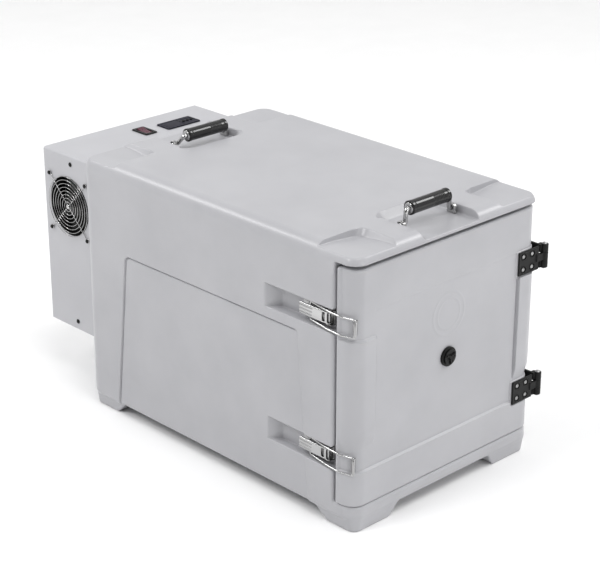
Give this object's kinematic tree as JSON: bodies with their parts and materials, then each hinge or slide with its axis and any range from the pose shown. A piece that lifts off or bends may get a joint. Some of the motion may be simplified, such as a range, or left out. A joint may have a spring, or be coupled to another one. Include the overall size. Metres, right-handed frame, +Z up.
{
  "type": "refrigerated insulated food carrier",
  "caption": "Front-loading insulated food carrier in rotomoulded plastic with a latched hinged door, folding handles, pan runners and a rear cooling unit with fan, switch and display.",
  "frame": {"origin": "middle of the bounding box in plan, on the floor under the feet", "axes": "+X to the hinge side, +Y from the door to the cooling unit, +Z up"},
  "size_m": [0.4614, 0.843, 0.5119],
  "materials": {
    "shell_plastic": "satin",
    "liner_plastic": "satin",
    "insulation": "matte",
    "painted_steel": "satin",
    "chrome": "polished",
    "stainless": "satin",
    "black_plastic": "satin",
    "black_gloss": "gloss",
    "rubber": "matte",
    "copper": "satin",
    "aluminium": "satin",
    "rocker_red": "gloss",
    "display_plastic": "gloss"
  },
  "bodies": {
    "carcass": {"outer_shell": "shell_plastic", "inner_liner": "liner_plastic", "insulation_foam": "insulation", "evaporator_grille": "stainless", "evaporator_coil": "aluminium", "evap_fan_frame": "black_plastic", "unit_cover": "painted_steel", "unit_base_plate": "painted_steel", "unit_back_panel": "painted_steel", "power_inlet": "black_plastic", "fan_frame": "black_plastic", "fan_guard": "chrome", "fan_screw_1": "stainless", "fan_screw_2": "stainless", "fan_screw_3": "stainless", "fan_screw_4": "stainless", "cover_screw_1": "stainless", "cover_screw_2": "stainless", "condenser_coil": "aluminium", "compressor": "painted_steel", "refrigerant_line": "copper", "controller_box": "black_plastic", "control_bezel": "display_plastic", "display_window": "black_gloss", "switch_bezel": "black_plastic", "hinge_body_leaf_top": "black_plastic", "hinge_body_leaf_bottom": "black_plastic", "hinge_pin_top": "stainless", "hinge_pin_bottom": "stainless", "latch_base_top": "stainless", "latch_base_bottom": "stainless", "handle_bracket_front_left": "chrome", "handle_bracket_front_right": "chrome", "handle_bracket_rear_left": "chrome", "handle_bracket_rear_right": "chrome"},
    "door": {"door_shell": "shell_plastic", "door_liner": "liner_plastic", "door_foam": "insulation", "door_gasket": "rubber", "vent_housing": "black_plastic", "hinge_door_leaf_top": "black_plastic", "hinge_door_leaf_bottom": "black_plastic", "keeper_top": "stainless", "keeper_bottom": "stainless"},
    "vent_cap": {"vent_cap": "black_plastic"},
    "latch_lever_top": {"latch_lever_top": "chrome"},
    "latch_bail_top": {"latch_bail_top": "chrome"},
    "latch_lever_bottom": {"latch_lever_bottom": "chrome"},
    "latch_bail_bottom": {"latch_bail_bottom": "chrome"},
    "front_handle": {"handle_wire_front": "chrome", "handle_grip_front": "black_gloss"},
    "rear_handle": {"handle_wire_rear": "chrome", "handle_grip_rear": "black_gloss"},
    "condenser_fan": {"fan_rotor": "black_plastic"},
    "evaporator_fan": {"evap_fan_rotor": "black_plastic"},
    "power_rocker": {"switch_rocker": "rocker_red"},
    "key_1": {"button_1": "black_plastic"},
    "key_2": {"button_2": "black_plastic"},
    "key_3": {"button_3": "black_plastic"}
  },
  "joints": [
    {"name": "door_swing", "type": "hinge", "parent": "carcass", "child": "door", "pos_m": [0.22375, -0.4145, 0.24], "axis": [0, 0, 1], "range_deg": [0, 265]},
    {"name": "vent_cap_twist", "type": "hinge", "parent": "door", "child": "vent_cap", "pos_m": [-0.00825, -0.4155, 0.247], "axis": [0, 1, 0], "range_deg": [0, 90]},
    {"name": "latch_lever_top_throw", "type": "hinge", "parent": "carcass", "child": "latch_lever_top", "pos_m": [-0.21675, -0.3495, 0.36], "axis": [0, 0, 1], "range_deg": [0, 115]},
    {"name": "latch_bail_top_swing", "type": "hinge", "parent": "latch_lever_top", "child": "latch_bail_top", "pos_m": [-0.21925, -0.3105, 0.36], "axis": [0, 0, 1], "range_deg": [-76, 0]},
    {"name": "latch_lever_bottom_throw", "type": "hinge", "parent": "carcass", "child": "latch_lever_bottom", "pos_m": [-0.21675, -0.3495, 0.123], "axis": [0, 0, 1], "range_deg": [0, 115]},
    {"name": "latch_bail_bottom_swing", "type": "hinge", "parent": "latch_lever_bottom", "child": "latch_bail_bottom", "pos_m": [-0.21925, -0.3105, 0.123], "axis": [0, 0, 1], "range_deg": [-76, 0]},
    {"name": "front_handle_fold", "type": "hinge", "parent": "carcass", "child": "front_handle", "pos_m": [-0.00825, -0.358, 0.475], "axis": [1, 0, 0], "range_deg": [-83, 77]},
    {"name": "rear_handle_fold", "type": "hinge", "parent": "carcass", "child": "rear_handle", "pos_m": [-0.00825, 0.1955, 0.475], "axis": [1, 0, 0], "range_deg": [-125, 35]},
    {"name": "condenser_fan_spin", "type": "hinge", "parent": "carcass", "child": "condenser_fan", "pos_m": [-0.17225, 0.348, 0.349], "axis": [-1, 0, 0], "continuous": true},
    {"name": "evaporator_fan_spin", "type": "hinge", "parent": "carcass", "child": "evaporator_fan", "pos_m": [-0.00825, 0.1945, 0.34], "axis": [0, -1, 0], "continuous": true},
    {"name": "power_switch_rock", "type": "hinge", "parent": "carcass", "child": "power_rocker", "pos_m": [-0.00425, 0.3565, 0.446], "axis": [1, 0, 0], "range_deg": [-16, 0]},
    {"name": "key_1_press", "type": "slide", "parent": "carcass", "child": "key_1", "axis": [0, 0, -1], "range_m": [0, 0.0012], "stiffness_N_per_m": 300, "springref_m": -0.0003},
    {"name": "key_2_press", "type": "slide", "parent": "carcass", "child": "key_2", "axis": [0, 0, -1], "range_m": [0, 0.0012], "stiffness_N_per_m": 300, "springref_m": -0.0003},
    {"name": "key_3_press", "type": "slide", "parent": "carcass", "child": "key_3", "axis": [0, 0, -1], "range_m": [0, 0.0012], "stiffness_N_per_m": 300, "springref_m": -0.0003}
  ],
  "couplings": [
    {"joint": "latch_bail_top_swing", "follows": "latch_lever_top_throw", "ratio": -0.66},
    {"joint": "latch_bail_bottom_swing", "follows": "latch_lever_bottom_throw", "ratio": -0.66}
  ]
}
